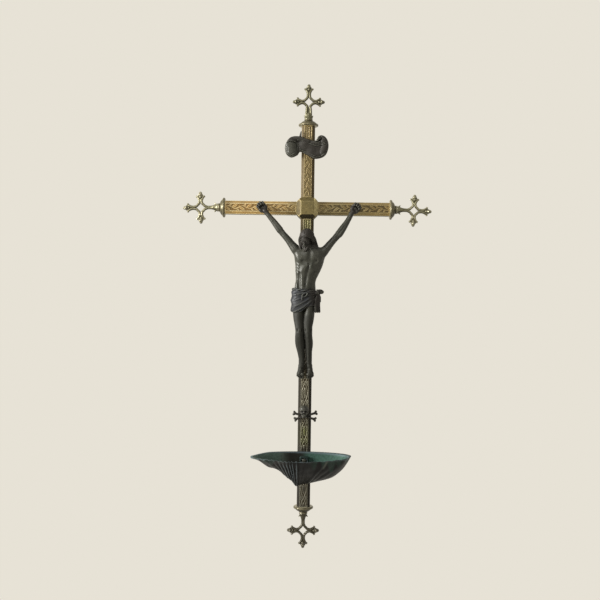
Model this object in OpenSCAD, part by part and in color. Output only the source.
// Wall crucifix with a holy-water stoup.
// The frame is X to the right, Y to the back and Z up, in millimetres. The origin is the centre of the
// crossing boss's flat back, which lies against the wall.

/* [Tubes and crossing boss] */
// Width of the eight-sided tubes across their flats
tube_w = 13.2; // [12.4:0.2:15]
// Wall of the tubes
tube_wall = 1.4; // [1.2:0.1:1.8]
// Leg of the bevel along the tubes' corners
tube_bevel = 2.9; // [2:0.1:3.4]
// From the crossing's centre to the end of the top tube and of both side tubes
short_arm = 82; // [76:0.5:96]
// From the crossing's centre to the end of the bottom tube
long_arm = 297; // [290:0.5:330]
// Width of the bevelled boss at the crossing
boss_w = 21.4; // [20.6:0.2:24]
// Leg of the boss's bevels
boss_bevel = 4.2; // [3:0.1:4.6]

/* [Tie rods] */
// Radius of the tie rods inside the tubes
rod_r = 2; // [1.6:0.1:2.4]
// Depth of the rods in the boss and in the finials
rod_grip = 4.5; // [3.5:0.5:5]
// Length of the plugs that centre the tubes
plug_l = 3; // [2:0.5:5]

/* [Collars] */
// Radius of a collar's rim
collar_r = 9.9; // [9.4:0.1:11.5]
// Thickness of the rim
rim_t = 2.6; // [2:0.1:3.2]
// Height of a collar
collar_h = 6.8; // [6:0.2:9]
// Radius of a collar's neck
neck_r = 4.3; // [3.6:0.1:5]

/* [Finials] */
// From a collar's neck to the middle of a finial's pierced centre
finial_stem = 17.8; // [16.8:0.2:21]
// From that middle to the leaf tips of the outer arm
finial_reach = 13; // [12:0.2:16]
// From that middle to the leaf tips of the two cross arms
finial_span = 11.3; // [10.9:0.2:14]
// Width of the cords that the finials are made of
cord_w = 2.4; // [1.8:0.1:2.6]
// Thickness of a finial, front to back
finial_t = 2.8; // [2.2:0.1:3.6]
// Radius of the buds
bud_r = 2.4; // [1.9:0.1:2.6]
// Lean of the left finial, clockwise, in degrees
lean_left = 1.9; // [-3:0.1:3]
// Lean of the right finial, clockwise, in degrees
lean_right = 2.8; // [-3:0.1:3]

/* [Title scroll] */
// Height of the scroll's middle above the crossing
scroll_z = 59.5; // [56:0.5:66]
// Width of the scroll
scroll_w = 44; // [40:0.5:50]
// Height of the scroll from the low lobe to the top roll
scroll_h = 23.5; // [21:0.5:27]
// Thickness of the scroll's sheet
scroll_t = 1.5; // [1.2:0.1:2]

/* [Figure] */
// Height of the figure from the crown of the head to the toes
figure_h = 144; // [138:1:150]
// From the cross's axis to the middle of the figure's frame, to the right
figure_x = 1.4; // [0.6:0.1:2.2]
// How far the hands' middles lie below the side tubes' axes
hand_drop = 0.4; // [0:0.1:1.2]
// Radius of the figure's nails
nail_r = 0.8; // [0.6:0.1:1]
// Radius of those nails' domed heads
nail_head_r = 1.5; // [1.3:0.1:2]

/* [Skull and bones] */
// Depth of the crossing of the bones below the crossing of the tubes
bones_z = 206.5; // [205:0.5:212]
// Length of each bone
bone_l = 24.5; // [22:0.5:28]
// Radius of a bone's shaft
bone_r = 1.15; // [1:0.05:1.4]
// Radius of the skull
skull_r = 4.6; // [4.2:0.1:5.2]

/* [Stoup] */
// Depth of the stoup's rim below the crossing
rim_z = 241.5; // [238:0.5:250]
// Width of the stoup
stoup_w = 98.5; // [90:0.5:112]
// Depth of the stoup, front to back
stoup_d = 50; // [46:1:62]
// Height of the stoup
stoup_h = 31; // [28:1:36]
// Wall of the stoup
stoup_wall = 2.2; // [1.8:0.1:2.8]
// Depth of the flutes under the rim
flute = 1.3; // [0.8:0.1:1.8]
// Number of flutes round the front
flutes = 13; // [11:1:17]

/* [Screws and hanger] */
// Radius of the fixing screws' shanks
screw_r = 1.5; // [1.2:0.1:1.8]
// Radius of the screws' heads
screw_head_r = 2.7; // [2.3:0.1:3]
// Height of the hanger's pivot above the crossing
hanger_z = 56; // [44:1:64]
// Radius of the hanging ring's wire
wire_r = 0.9; // [0.8:0.05:1]
// Half width of the hanging ring, to the middle of its wire
ring_half = 5.2; // [4.8:0.1:5.4]
// Straight length of the ring's sides below its pivot
ring_drop = 3.4; // [2.5:0.1:6]

/* [Hidden] */

brass = "#b08d4f";
pale_brass = "#a9a37f";
bronze = "#4b4a41";
verdigris = "#3f5a50";
steel = "#77756e";

slip = 0.05;                                // clearance of a threaded or riveted shank in its hole
seat = 0.1;                                 // clearance of a casting on the face that it lies on
axis_y = -boss_w / 2;                       // the tubes' axes lie this far in front of the wall
face_y = axis_y - tube_w / 2;               // front faces of the tubes
back_y = axis_y + tube_w / 2;               // back faces of the tubes
bore_w = tube_w - 2 * tube_wall;            // inside width of the tubes
bore_bevel = tube_bevel - tube_wall * (2 - sqrt(2));
scale_up = figure_h / 146;                  // the figure is drawn 146 high
hand_x = 46.5 * scale_up;                   // from the figure's middle to each hand's nail
nail_z = -hand_drop;
figure_z = -hand_drop - scale_up;           // the hands are drawn 1 above the figure's own zero
foot_nail_z = figure_z - 165.5 * scale_up;
foot_nail_places = [[-2.9, foot_nail_z], [3.2, foot_nail_z]];
rivet_r = 0.9;                              // shanks of the small rivets
rivet_places = [[-3.2, scroll_z + 4], [3.2, scroll_z - 4]];
stoup_x = -2.8;                             // the stoup's middle lies this far beside the axis
stoup_screw_places = [[0, -rim_z - 8.5], [0, -rim_z - 16.5]];
skull_z = bones_z - 5.5;
hanger_rivet_places = [[-1.7, hanger_z + 4.2], [1.7, hanger_z + 4.2]];
pivot_y = -2.05;                            // the ring's pivot lies between the tube and the wall
$fn = 48;

// ---- helpers --------------------------------------------------------------------------------------

// Section of a tube: a square of width w with bevels of leg b.
module eight_sided(w, b) {
    h = w / 2;
    polygon([[-h + b, -h], [h - b, -h], [h, -h + b], [h, h - b],
             [h - b, h], [-h + b, h], [-h, h - b], [-h, -h + b]]);
}

// Puts a piece that is drawn along +Z from the crossing's centre onto one of the four arms.
// The outlines stay facing the front.
module on_arm(angle) {
    translate([0, axis_y, 0]) rotate([0, angle, 0]) children();
}

// A row of numbers on the smooth curve through rows a, b, c and d, at share t of the way from b to c.
function blend(a, b, c, d, t) =
    b + 0.5 * t * (c - a + t * (2 * a - 5 * b + 4 * c - d + t * (3 * b - a - 3 * c + d)));

// Rows on the smooth curve through the given rows, n to each span.
function smooth(rows, n) = let (last = len(rows) - 1) [
    for (i = [0:last - 1], j = [0:n - 1])
        blend(rows[max(i - 1, 0)], rows[i], rows[i + 1], rows[min(i + 2, last)], j / n),
    rows[last]];

function unit(v) = v / norm(v);

// A coarse ball, for hulls.
module blob(p, r, sides = 12) {
    translate(p) sphere(r, $fn = sides);
}

function middle(ring) = [for (k = [0:2]) sum_of(ring, k) / len(ring)];
function sum_of(ring, k, i = 0) = i == len(ring) ? 0 : ring[i][k] + sum_of(ring, k, i + 1);

// Closed skin over rings of points that run anticlockwise round the way from the first to the last.
// Each ring has the same number of points. Both ends are closed by fans.
module skin(rings) {
    n = len(rings[0]);
    last = len(rings) - 1;
    first_mid = (last + 1) * n;
    polyhedron(
        points = concat([for (ring = rings) each ring], [middle(rings[0]), middle(rings[last])]),
        faces = concat(
            [for (j = [0:n - 1]) [j, (j + 1) % n, first_mid]],
            [for (i = [0:last - 1], j = [0:n - 1]) let (k = (j + 1) % n)
                each [[i * n + j, (i + 1) * n + j, (i + 1) * n + k],
                      [i * n + j, (i + 1) * n + k, i * n + k]]],
            [for (j = [0:n - 1]) [last * n + (j + 1) % n, last * n + j, first_mid + 1]]),
        convexity = 6);
}

// A limb through rows of [x, y, z, half width, half depth]: oval rings square to the curve.
module limb(rows, sides = 14, steps = 3) {
    path = smooth(rows, steps);
    last = len(path) - 1;
    skin([for (i = [0:last]) let (
        a = path[max(i - 1, 0)],
        b = path[min(i + 1, last)],
        along = unit([b[0] - a[0], b[1] - a[1], b[2] - a[2]]),
        across = unit(cross([0, 1, 0], along)),
        front = cross(along, across),
        p = path[i])
        [for (j = [0:sides - 1]) let (t = 360 * j / sides)
            [p[0], p[1], p[2]] + across * p[3] * cos(t) + front * p[4] * sin(t)]]);
}

// A screw drawn from the face that its head lies on: the head rises along +Z and the shank goes down.
module screw(head_r, shank_r, shank_l) {
    rotate_extrude() polygon([[0, -shank_l], [shank_r, -shank_l], [shank_r, 0], [head_r, 0],
                              for (t = [0:15:90]) [head_r * cos(t), head_r * 0.15 + head_r * 0.5 * sin(t)]]);
}

// Points +Z out of the tubes' front faces at place [x, z].
module at_face(place) {
    translate([place[0], face_y, place[1]]) rotate([90, 0, 0]) children();
}

// Points +Z out of the tubes' back faces at place [x, z].
module at_back(place) {
    translate([place[0], back_y, place[1]]) rotate([-90, 0, 0]) children();
}

// A hole for a shank of radius r, from the face down through the wall.
module hole(r) {
    translate([0, 0, -tube_wall - 1]) cylinder(r = r + slip, h = tube_wall + 2);
}

// ---- tubes, boss and rods -------------------------------------------------------------------------

module boss() {
    half = boss_w / 2;
    side = sqrt(2) * (boss_w - boss_bevel);
    color(brass) translate([0, axis_y, 0]) difference() {
        union() {
            intersection() {
                cube(boss_w, center = true);
                for (turn = [[45, 0, 0], [0, 45, 0], [0, 0, 45]])
                    rotate(turn) cube([turn[0] > 0 ? boss_w * 2 : side,
                                       turn[1] > 0 ? boss_w * 2 : side,
                                       turn[2] > 0 ? boss_w * 2 : side], center = true);
            }
            for (angle = [0, 90, 180, 270]) rotate([0, angle, 0])
                translate([0, 0, half - 0.5]) linear_extrude(plug_l + 0.5) plug_section();
        }
        for (angle = [0, 90, 180, 270]) rotate([0, angle, 0])
            translate([0, 0, half + plug_l - rod_grip]) cylinder(r = rod_r + slip, h = rod_grip + 1);
    }
}

// Section of the plugs that centre the tubes on the boss and on the collars.
module plug_section() {
    eight_sided(bore_w - 2 * seat, bore_bevel);
}

module tube(angle, reach) {
    start = boss_w / 2;
    color(brass) difference() {
        on_arm(angle) translate([0, 0, start]) linear_extrude(reach - start) difference() {
            eight_sided(tube_w, tube_bevel);
            eight_sided(bore_w, bore_bevel);
        }
        fixing_holes();
    }
}

// Holes in the walls of the tubes for everything that is screwed, nailed or riveted to them.
module fixing_holes() {
    for (side = [-1, 1]) at_face([figure_x + side * hand_x, nail_z]) hole(nail_r);
    for (p = foot_nail_places) at_face(p) hole(nail_r);
    for (p = rivet_places) at_face(p) hole(rivet_r);
    for (p = stoup_screw_places) at_face(p) hole(screw_r);
    at_face([0, -skull_z]) hole(rivet_r);
    for (p = hanger_rivet_places) at_back(p) hole(rivet_r);
}

module tie_rod(angle, reach) {
    start = boss_w / 2 + plug_l - rod_grip;
    color(steel) on_arm(angle) translate([0, 0, start])
        cylinder(r = rod_r, h = reach + collar_h + rod_grip - start - seat);
}

// ---- collars and finials --------------------------------------------------------------------------

// Turned collar: a rounded rim, a hollowed bell and a short neck.
module collar(angle, reach) {
    rim = rim_t / 2;
    bell = collar_h - rim_t - 0.8;
    color(pale_brass) on_arm(angle) translate([0, 0, reach]) {
        difference() {
            union() {
                rotate_extrude() polygon([[0, 0], [collar_r - rim, 0],
                    for (t = [-75:15:75]) [collar_r - rim + rim * cos(t), rim + rim * sin(t)],
                    for (t = [0:15:90]) let (w = collar_r - rim - 0.2 - neck_r)
                        [neck_r + w * (cos(t) + 1 - sin(t)) / 2 * (1.1 - 0.1 * cos(4 * t)),
                         rim_t + bell * (sin(t) + 1 - cos(t)) / 2],
                    [neck_r, collar_h], [0, collar_h]]);
                translate([0, 0, -plug_l]) linear_extrude(plug_l + 0.5) plug_section();
            }
            translate([0, 0, -plug_l - 1]) cylinder(r = rod_r + slip, h = plug_l + collar_h + 2);
        }
    }
}

// Centre line of one cord of a finial, bent round one quarter, from the leaf tip of one arm to the
// leaf tip of the next. Arms a and b are this long; distances are along and off each arm. Along arm b
// the cord keeps the given distance off the arm's middle.
function cord_line(a, b, off) = let (
    near = cord_w * 0.38,
    leaf = 3.6,
    arm = function (r, gap) [[r, leaf], [r - 1.5, leaf - 1.2], [r - 3.4, gap + 0.3], [7, gap], [4.2, 1.55]])
    concat(arm(a, near), [[2.9, 2.9]], [for (i = [4:-1:0]) let (p = arm(b, max(near, off))[i]) [p[1], p[0]]]);

// Outline of that cord: tapered at both tips.
function cord_outline(a, b, off = 0) = let (
    line = smooth(cord_line(a, b, off), 3),
    last = len(line) - 1,
    normal = function (i) let (d = unit(line[min(i + 1, last)] - line[max(i - 1, 0)])) [-d[1], d[0]],
    half = function (i) cord_w / 2 * min(1, 0.4 + 0.6 * sin(90 * min(1, 6 * min(i, last - i) / last))))
    concat([for (i = [0:last]) line[i] + normal(i) * half(i)],
           [for (i = [last:-1:0]) line[i] - normal(i) * half(i)]);

// Openwork cross: four bent cords, a bud at the end of each outer arm and a foot that takes the rod.
// It leans clockwise about the foot. The cords of the stem keep the given distance off its middle.
module finial(angle, reach, lean = 0, stem_gap = 0) {
    foot = finial_stem - 2.4;
    knee = finial_stem - rod_grip - 1;
    color(pale_brass) on_arm(angle) translate([0, 0, reach + collar_h + finial_stem]) difference() {
        union() {
            translate([0, 0, -knee]) rotate([0, lean, 0]) translate([0, 0, knee]) {
                rotate([90, 0, 0]) translate([0, 0, -finial_t / 2]) linear_extrude(finial_t)
                    offset(delta = 0.02) {
                        for (side = [0, 1]) mirror([side, 0]) {
                            polygon(cord_outline(finial_span, finial_reach));
                            mirror([0, 1]) polygon(cord_outline(finial_span, foot, stem_gap));
                        }
                        for (turn = [0, 90, 180]) rotate(turn) translate([6, -cord_w / 2])
                            square([(turn == 90 ? finial_reach : finial_span) - 5, cord_w]);
                    }
                for (turn = [-90, 0, 90]) rotate([0, turn, 0])
                    translate([0, 0, (turn == 0 ? finial_reach : finial_span) + bud_r]) sphere(bud_r);
            }
            translate([0, 0, -finial_stem]) rotate_extrude() polygon([[0, 0], [rod_r + 2, 0],
                [rod_r + 2.3, 1], [rod_r + 1.9, 2.2], [rod_r + 1, 3.8], [rod_r + 0.7, rod_grip],
                [finial_t / 2, rod_grip + 2.5], [0, rod_grip + 3]]);
        }
        translate([0, 0, -finial_stem - 1]) cylinder(r = rod_r + slip, h = rod_grip + 1);
    }
}

// ---- title scroll ---------------------------------------------------------------------------------

// Outline of the scroll round its middle: a band that rises from a low lobe on the left, falls to the
// right and ends in a roll at the top right.
scroll_points = [
    [-15.6, -10.6], [-19.8, -7.6], [-21.4, -2], [-20, 4.4], [-16.6, 8.9], [-12.2, 10.6],
    [-6.6, 10.4], [0.6, 8.2], [7.2, 6.2], [10, 7.6], [11.6, 10.6], [14.6, 11.9], [18.2, 10.6],
    [21.1, 6.6], [22, 1], [20.8, -4.8], [18, -9], [13.2, -11.2], [7.4, -11.6], [1.6, -8.6],
    [-5.4, -5.2], [-8.2, -5.7], [-10, -8]];

function ring_of(points) = let (n = len(points)) [
    for (i = [0:n - 1], j = [0:2])
        blend(points[(i + n - 1) % n], points[i], points[(i + 1) % n], points[(i + 2) % n], j / 3)];

module scroll_sheet() {
    polygon(ring_of([for (p = scroll_points) [p[0] * scroll_w / 44, p[1] * scroll_h / 23.5]]));
}

module title_scroll() {
    color(bronze) difference() {
        translate([-1.8, face_y - seat, scroll_z]) rotate([90, 0, 0]) union() {
            linear_extrude(scroll_t) scroll_sheet();
            translate([0, 0, scroll_t - 0.1]) intersection() {
                linear_extrude(5) scroll_sheet();
                union() {
                    hull() {
                        blob([-16.6, 6, 0], 3);
                        blob([-16.6, -5, 0], 3.6);
                    }
                    hull() {
                        blob([-13, 8.2, 0], 2);
                        blob([6, 3.6, 0], 1.3);
                    }
                    hull() {
                        blob([15.6, 8, 0], 3);
                        blob([17.4, -3, 0], 2.6);
                    }
                }
            }
            linear_extrude(scroll_t) polygon([[-8.4, 9], [-4, 9], [-3.9, 14.4], [-5.4, 16.2], [-6.8, 14.6]]);
        }
        for (p = rivet_places) at_face(p) translate([0, 0, seat]) {
            translate([0, 0, -1]) cylinder(r = rivet_r + slip, h = 4);
            translate([0, 0, scroll_t - 0.7]) cylinder(r = rivet_r + 0.6, h = 6);
        }
    }
}

module title_screws() {
    color(steel) for (p = rivet_places) at_face(p) {
        translate([0, 0, -tube_wall - 0.6]) cylinder(r = rivet_r, h = tube_wall + 0.7 + seat + scroll_t - 0.7);
        translate([0, 0, seat + scroll_t - 0.7]) cylinder(r = rivet_r + 0.6, h = 0.7);
    }
}

// ---- figure ---------------------------------------------------------------------------------------
// The figure is drawn in its own frame: Y is 0 on the tubes' front faces and falls towards the viewer.

module figure() {
    translate([figure_x, face_y - seat, figure_z]) scale(scale_up) children();
}

arm_left = [[-8, -8.8, -45.5, 5, 5], [-11.6, -8.8, -41, 4.6, 4.8], [-15.2, -8.6, -36.6, 3.7, 4],
            [-18.7, -8.2, -32.4, 3.2, 3.5], [-22.3, -7.6, -28.2, 3, 3.2], [-25.8, -7, -24.2, 3.1, 3.1],
            [-28.9, -6.4, -20.3, 3.3, 3.2], [-32, -5.8, -16.3, 3.2, 3.1], [-35.4, -5.2, -12.2, 2.9, 2.8],
            [-39, -4.6, -8.2, 2.7, 2.4], [-42.8, -3.8, -3.6, 2.8, 2]];
arm_right = [[10.5, -8.8, -48, 5.2, 5], [15, -8.8, -43.6, 4.8, 4.8], [18.6, -8.6, -39.8, 3.9, 4.2],
             [21.9, -8.2, -35.8, 3.6, 3.7], [25.4, -7.6, -31.6, 3.3, 3.4], [28.7, -7, -27.6, 3.3, 3.3],
             [31.8, -6.4, -23.7, 3.6, 3.4], [34.3, -5.8, -19.7, 3.5, 3.3], [36.8, -5.2, -15.6, 3.1, 2.9],
             [39.2, -4.7, -11.4, 2.7, 2.5], [43, -3.8, -4, 2.7, 2]];
torso = [[-2.6, -8.6, -101, 8, 5], [-2.3, -8.9, -92, 11.4, 7], [-2, -8.9, -84, 11, 7.2],
         [-1.6, -8.6, -76, 10, 6.7], [-1, -8.4, -70, 10.3, 6.4], [0.2, -8.6, -64, 12, 7],
         [1.7, -9, -56, 13.9, 7.9], [2.2, -9.2, -49, 15.6, 8], [2.4, -9.2, -43.5, 14.6, 7],
         [1.8, -9.4, -39.8, 8.6, 5.2], [0.6, -10.4, -36.4, 4.4, 4.4], [-0.8, -12, -32, 4, 4.2]];
leg_left = [[-8, -8.6, -90, 5.2, 6.4], [-8.8, -9.6, -100, 5, 6.2], [-8.6, -11.4, -109, 4.7, 5.6],
            [-8, -13.2, -116, 4, 4.6], [-7.6, -13.8, -122, 3.6, 4.3], [-7.7, -12.2, -128.5, 3.7, 4],
            [-7.2, -9.8, -135.5, 3.8, 3.9], [-5.7, -7.2, -145, 2.9, 3.1], [-4.6, -5.4, -153, 2.5, 2.6],
            [-4.7, -4.4, -158.5, 2.5, 2.8]];
leg_right = [[3, -8.6, -90, 5.4, 6.4], [2.9, -10, -100, 5.2, 6.4], [2.6, -12.4, -109, 4.9, 5.6],
             [2.2, -14.6, -116, 4, 4.8], [2, -15.2, -122, 3.5, 4.5], [2.6, -13.4, -128.5, 3.7, 4.1],
             [3, -10.6, -135.5, 3.7, 4], [2.9, -7.6, -145, 3, 3.2], [3.1, -5.6, -153, 2.3, 2.6],
             [3.4, -4.4, -158.5, 2.4, 2.8]];
shoulder_row = 2;                           // the arm castings begin at this row
shoulder_steps = 3;

// Rows of an arm before and after the joint at the shoulder.
function inner(rows) = [for (i = [0:shoulder_row]) rows[i]];
function outer(rows) = [for (i = [shoulder_row:len(rows) - 1]) rows[i]];

// A straight limb's last rows carry the same direction on both sides of the joint.
function along_joint(rows) = unit([for (k = [0:2]) rows[shoulder_row + 1][k] - rows[shoulder_row - 1][k]]);

module at_joint(rows) {
    d = along_joint(rows);
    translate([for (k = [0:2]) rows[shoulder_row][k]])
        rotate([0, acos(d[2]), atan2(d[1], d[0])]) children();
}

module bead_chain(points) {
    for (i = [0:len(points) - 2]) hull() {
        blob([for (k = [0:2]) points[i][k]], points[i][3]);
        blob([for (k = [0:2]) points[i + 1][k]], points[i + 1][3]);
    }
}

module head() {
    hull() {
        blob([-1.4, -12, -30.6], 7.5);
        blob([-2.4, -15, -34], 6.4);
    }
    hull() {
        blob([-3, -18, -36], 4.6);
        blob([-3.6, -19, -40], 3.4);
        blob([-2.2, -12, -36], 5.4);
    }
    hull() {
        blob([2.4, -11, -32], 6.8);
        blob([6, -11, -37], 5);
        blob([7.4, -12, -42], 3);
    }
    hull() {
        blob([-6, -10, -33], 5.1);
        blob([-7.8, -10.5, -39.5], 2.6);
    }
}

module loincloth() {
    skin([for (row = smooth([[-2.6, -79, 10.8, 7.8], [-2.6, -82.5, 12.7, 8.6], [-2.6, -90, 13, 9],
                             [-2.5, -98, 13, 8.8], [-2.9, -104.2, 12.5, 8.2]], 2))
        [for (j = [0:29]) let (t = -12 * j, wave = 1 + 0.035 * sin(6 * t + 9 * row[1]))
            [row[0] + row[2] * wave * cos(t),
             -9.4 + row[3] * wave * sin(t) - 1.4 * max(0, -sin(t)),
             row[1] + (row[1] < -92 ? -2.2 * cos(t) : 0)]]]);
    bead_chain([[-2.5, -17.4, -84, 1.6], [-5, -17.6, -86.5, 1.4], [-2, -18, -88, 1.4], [1, -17.4, -85, 1.4]]);
    bead_chain([[6, -13.5, -83, 2.6], [12, -11.6, -83, 3]]);
    bead_chain([[9, -12.4, -85, 2.4], [10.4, -12.4, -94, 2.8], [10.8, -12.2, -100.6, 2.8]]);
}

module foot(x, turn) {
    hull() {
        blob([x, -3.1, -157.4], 2.9);
        blob([x + turn * 1.2, -3.2, -165.4], 2.9);
        blob([x - turn * 0.8, -4, -164.6], 2.8);
    }
    hull() {
        blob([x + turn * 1.1, -2.9, -166.2], 2.6);
        blob([x - turn * 0.9, -2.9, -166], 2.6);
        blob([x + turn * 2, -2.9, -168], 1.9);
        blob([x - turn * 1.2, -2.9, -168.4], 2);
    }
}

module corpus_body() {
    color(bronze) difference() {
        figure() union() {
            limb(torso, 18, 2);
            limb(leg_left, 12, 2);
            limb(leg_right, 12, 2);
            limb(inner(arm_left), 12, 2);
            limb(inner(arm_right), 12, 2);
            head();
            loincloth();
            foot(-5.1, -1);
            foot(3.9, 1);
        }
        for (rows = [arm_left, arm_right]) figure() at_joint(rows) {
            translate([0, 0, -slip]) cylinder(r = 7, h = 9);
            translate([0, 0, -3.5]) cylinder(r = pin_r + slip, h = 5);
        }
        for (p = foot_nail_places) at_face(p) {
            cylinder(r = nail_r + slip, h = 12);
            translate([0, 0, foot_top]) cylinder(r = nail_head_r + 0.3, h = 12);
        }
    }
}

module hand(side) {
    x = 46.5 * side;
    hull() {
        blob([x - side * 3, -3.4, -3.4], 2.6);
        blob([x - side * 2, -3, 3.2], 2);
        blob([x + side * 2.6, -3, 1.2], 2);
    }
    for (i = [0:3]) let (fx = x + side * (2.4 - 1.7 * i), fz = 3.2 + 0.7 * i) hull() {
        blob([fx, -3.2, fz - 1], 1.3, 8);
        blob([fx, -5.2, fz + 1], 1.1, 8);
        blob([fx + side * 0.3, -6.6, fz - 0.6], 0.9, 8);
    }
    hull() {
        blob([x - side * 3.4, -3.8, -1.6], 1.4, 8);
        blob([x - side * 4, -5.6, 1.2], 1.1, 8);
    }
}

module corpus_arm(side) {
    rows = side < 0 ? arm_left : arm_right;
    color(bronze) difference() {
        figure() union() {
            limb(outer(rows), 12, 2);
            hand(side);
        }
        figure() at_joint(rows) {
            translate([0, 0, slip - 3]) cylinder(r = 9, h = 3);
            translate([0, 0, -1]) cylinder(r = pin_r + slip, h = 4.5);
        }
        at_face([figure_x + side * hand_x, nail_z]) {
            cylinder(r = nail_r + slip, h = 12);
            translate([0, 0, hand_top]) cylinder(r = nail_head_r + 0.3, h = 12);
        }
    }
}

pin_r = 1;
foot_top = 5.6 * scale_up;                  // the foot nails' heads stand this far above the tube
hand_top = 4.6 * scale_up;                  // the hand nails' heads stand this far above the tubes

module shoulder_pins() {
    color(steel) figure() for (rows = [arm_left, arm_right]) at_joint(rows)
        translate([0, 0, -3.3]) cylinder(r = pin_r, h = 6.6);
}

module nail(top) {
    translate([0, 0, top]) screw(nail_head_r, nail_r, top + tube_wall + 0.8);
}

module hand_nail(side) {
    color(bronze) at_face([figure_x + side * hand_x, nail_z]) nail(hand_top);
}

module foot_nails() {
    color(bronze) for (p = foot_nail_places) at_face(p) nail(foot_top);
}

// ---- skull and bones ------------------------------------------------------------------------------

module bone() {
    half = bone_l / 2 - 2;
    rotate([0, 90, 0]) cylinder(r = bone_r, h = 2 * half, center = true);
    for (end = [-1, 1], lobe = [-1, 1])
        translate([end * half, 0, lobe * 0.95]) sphere(1.4, $fn = 20);
}

module skull_and_bones() {
    color(bronze) difference() {
        union() {
            translate([0, face_y - seat - bone_r, -bones_z]) {
                rotate([0, 16, 0]) bone();
                translate([0, -0.6, 0]) rotate([0, -18, 0]) bone();
            }
            translate([-0.6, face_y - seat, -skull_z]) {
                hull() {
                    blob([0, -skull_r, 1.4], skull_r, 20);
                    blob([0, -skull_r - 0.6, -2], skull_r * 0.8, 16);
                }
                hull() {
                    blob([0, -skull_r - 0.4, -3], skull_r * 0.66);
                    blob([0, -skull_r, -5.4], skull_r * 0.56);
                }
            }
        }
        for (side = [-1, 1]) translate([-0.6 + side * skull_r * 0.4, face_y - 2 * skull_r, -skull_z])
            sphere(skull_r * 0.27, $fn = 24);
        at_face([0, -skull_z]) cylinder(r = rivet_r + slip, h = 3.6);
    }
}

module skull_screw() {
    color(steel) at_face([0, -skull_z]) translate([0, 0, -tube_wall - 0.6])
        cylinder(r = rivet_r, h = tube_wall + 0.6 + 3.4);
}

// ---- stoup ----------------------------------------------------------------------------------------

stoup_back = stoup_d * 0.42;                // from the widest line of the stoup back to the tube
stoup_mid_y = face_y - seat - stoup_back;
umbo = [stoup_x - 2, face_y - 9];
rim_cells = 6;                              // cells round the rim for each flute

// A point of the stoup's outer skin (inset 0) or of its inner skin, at share s of the way from the
// umbo to the rim and at angle t round the rim.
function stoup_point(s, t, inset) = let (
    front = max(0, -sin(t)),
    ripple = flute * cos(t * flutes) * pow(s, 1.3) * (0.35 + 0.65 * front) * (inset > 0 ? 0.75 : 1),
    wide = stoup_w / 2 - inset - flute + ripple,
    deep = (sin(t) > 0 ? stoup_back : stoup_d - stoup_back - flute + ripple) - inset,
    x = stoup_x + wide * cos(t) * (1 - 0.05 * pow(sin(t), 4)),
    y = stoup_mid_y + deep * sin(t),
    straight = 0.69 - 0.39 * cos(t),
    rise = straight * s + (1 - straight) * pow(s, 4),
    drop = stoup_h - inset * 0.9)
    [umbo[0] + (x - umbo[0]) * s, umbo[1] - (inset > 0 ? 2 : 0) * (1 - s) + (y - umbo[1]) * s,
     -rim_z - drop * (1 - rise) - (inset > 0 ? 0 : 0.2 * (1 - s))];

module stoup_shell() {
    n = flutes * rim_cells;
    angles = [for (j = [0:n - 1]) 360 * j / n];
    skin(concat(
        [for (s = [0.08, 0.2, 0.34, 0.48, 0.62, 0.75, 0.87, 0.95, 1]) [for (t = angles) stoup_point(s, t, 0)]],
        [for (s = [1, 0.94, 0.84, 0.7, 0.55, 0.4, 0.25, 0.12]) [for (t = angles) stoup_point(s, t, stoup_wall)]]));
}

module stoup() {
    color(bronze) difference() {
        union() {
            stoup_shell();
            translate([-4.4, face_y - seat - 7, -rim_z - 21]) cube([8.8, 7, 17]);
        }
        for (p = stoup_screw_places) at_face(p) {
            cylinder(r = screw_r + slip, h = 14);
            translate([0, 0, pad]) cylinder(r = screw_head_r + 0.4, h = 16);
        }
    }
}

pad = 5.4;                                  // the screws' heads stand this far in front of the tube

module stoup_screws() {
    color(steel) for (p = stoup_screw_places) at_face(p)
        translate([0, 0, pad]) screw(screw_head_r, screw_r, pad + tube_wall + 0.8);
}

// ---- hanger ---------------------------------------------------------------------------------------

knuckle_r = 1.85;
knuckle_w = 5;
plate_t = 0.9;

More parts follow.
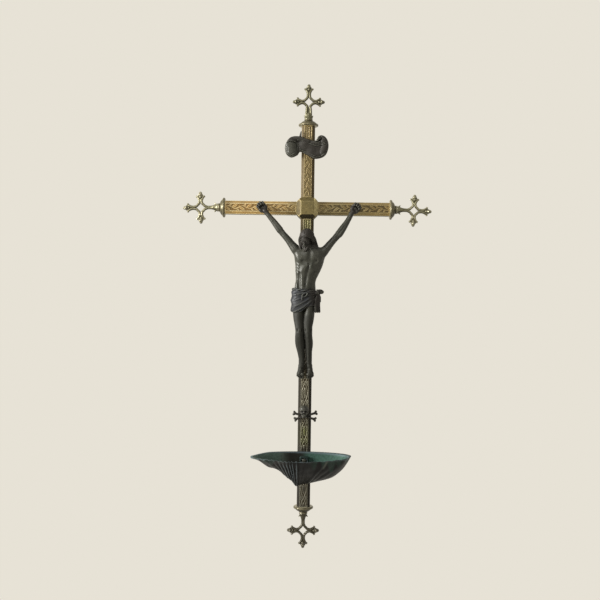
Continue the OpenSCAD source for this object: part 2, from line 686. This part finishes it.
module hanger_lug() {
    color(steel) difference() {
        union() {
            at_back([0, hanger_z + 2.4]) linear_extrude(plate_t) square([6.4, 8], center = true);
            translate([-knuckle_w / 2, pivot_y, hanger_z]) rotate([0, 90, 0])
                cylinder(r = knuckle_r, h = knuckle_w);
        }
        translate([-10, pivot_y, hanger_z]) rotate([0, 90, 0]) cylinder(r = wire_r + 0.06, h = 20);
        for (p = hanger_rivet_places) at_back(p) cylinder(r = rivet_r + slip, h = 3);
    }
}

module hanger_rivets() {
    color(steel) for (p = hanger_rivet_places) at_back(p)
        translate([0, 0, plate_t]) screw(1.3, rivet_r, plate_t + tube_wall + 0.6);
}

// The ring hangs from its pivot bar: a D of round wire.
module hanging_ring() {
    color(steel) translate([0, pivot_y, hanger_z]) {
        rotate([0, 90, 0]) cylinder(r = wire_r, h = 2 * ring_half, center = true);
        for (side = [-1, 1]) {
            translate([side * ring_half, 0, 0]) sphere(wire_r);
            translate([side * ring_half, 0, -ring_drop]) cylinder(r = wire_r, h = ring_drop);
        }
        translate([0, 0, -ring_drop]) rotate([90, 0, 0]) rotate([0, 0, 180])
            rotate_extrude(angle = 180) translate([ring_half, 0]) circle(wire_r);
    }
}

boss();
tube(0, short_arm);  // tube_top
tube(180, long_arm);  // tube_bottom
tube(-90, short_arm);  // tube_left
tube(90, short_arm);  // tube_right
collar(0, short_arm);  // collar_top
collar(180, long_arm);  // collar_bottom
collar(-90, short_arm);  // collar_left
collar(90, short_arm);  // collar_right
finial(0, short_arm, 0, 1.9);  // finial_top
finial(180, long_arm);  // finial_bottom
finial(-90, short_arm, lean_left);  // finial_left
finial(90, short_arm, lean_right);  // finial_right
tie_rod(0, short_arm);  // tie_rod_top
tie_rod(180, long_arm);  // tie_rod_bottom
tie_rod(-90, short_arm);  // tie_rod_left
tie_rod(90, short_arm);  // tie_rod_right
title_scroll();
title_screws();
corpus_body();
corpus_arm(-1);  // corpus_arm_left
corpus_arm(1);  // corpus_arm_right
shoulder_pins();
hand_nail(-1);  // hand_nail_left
hand_nail(1);  // hand_nail_right
foot_nails();
skull_and_bones();
skull_screw();
stoup();
stoup_screws();
hanger_lug();
hanger_rivets();
hanging_ring();
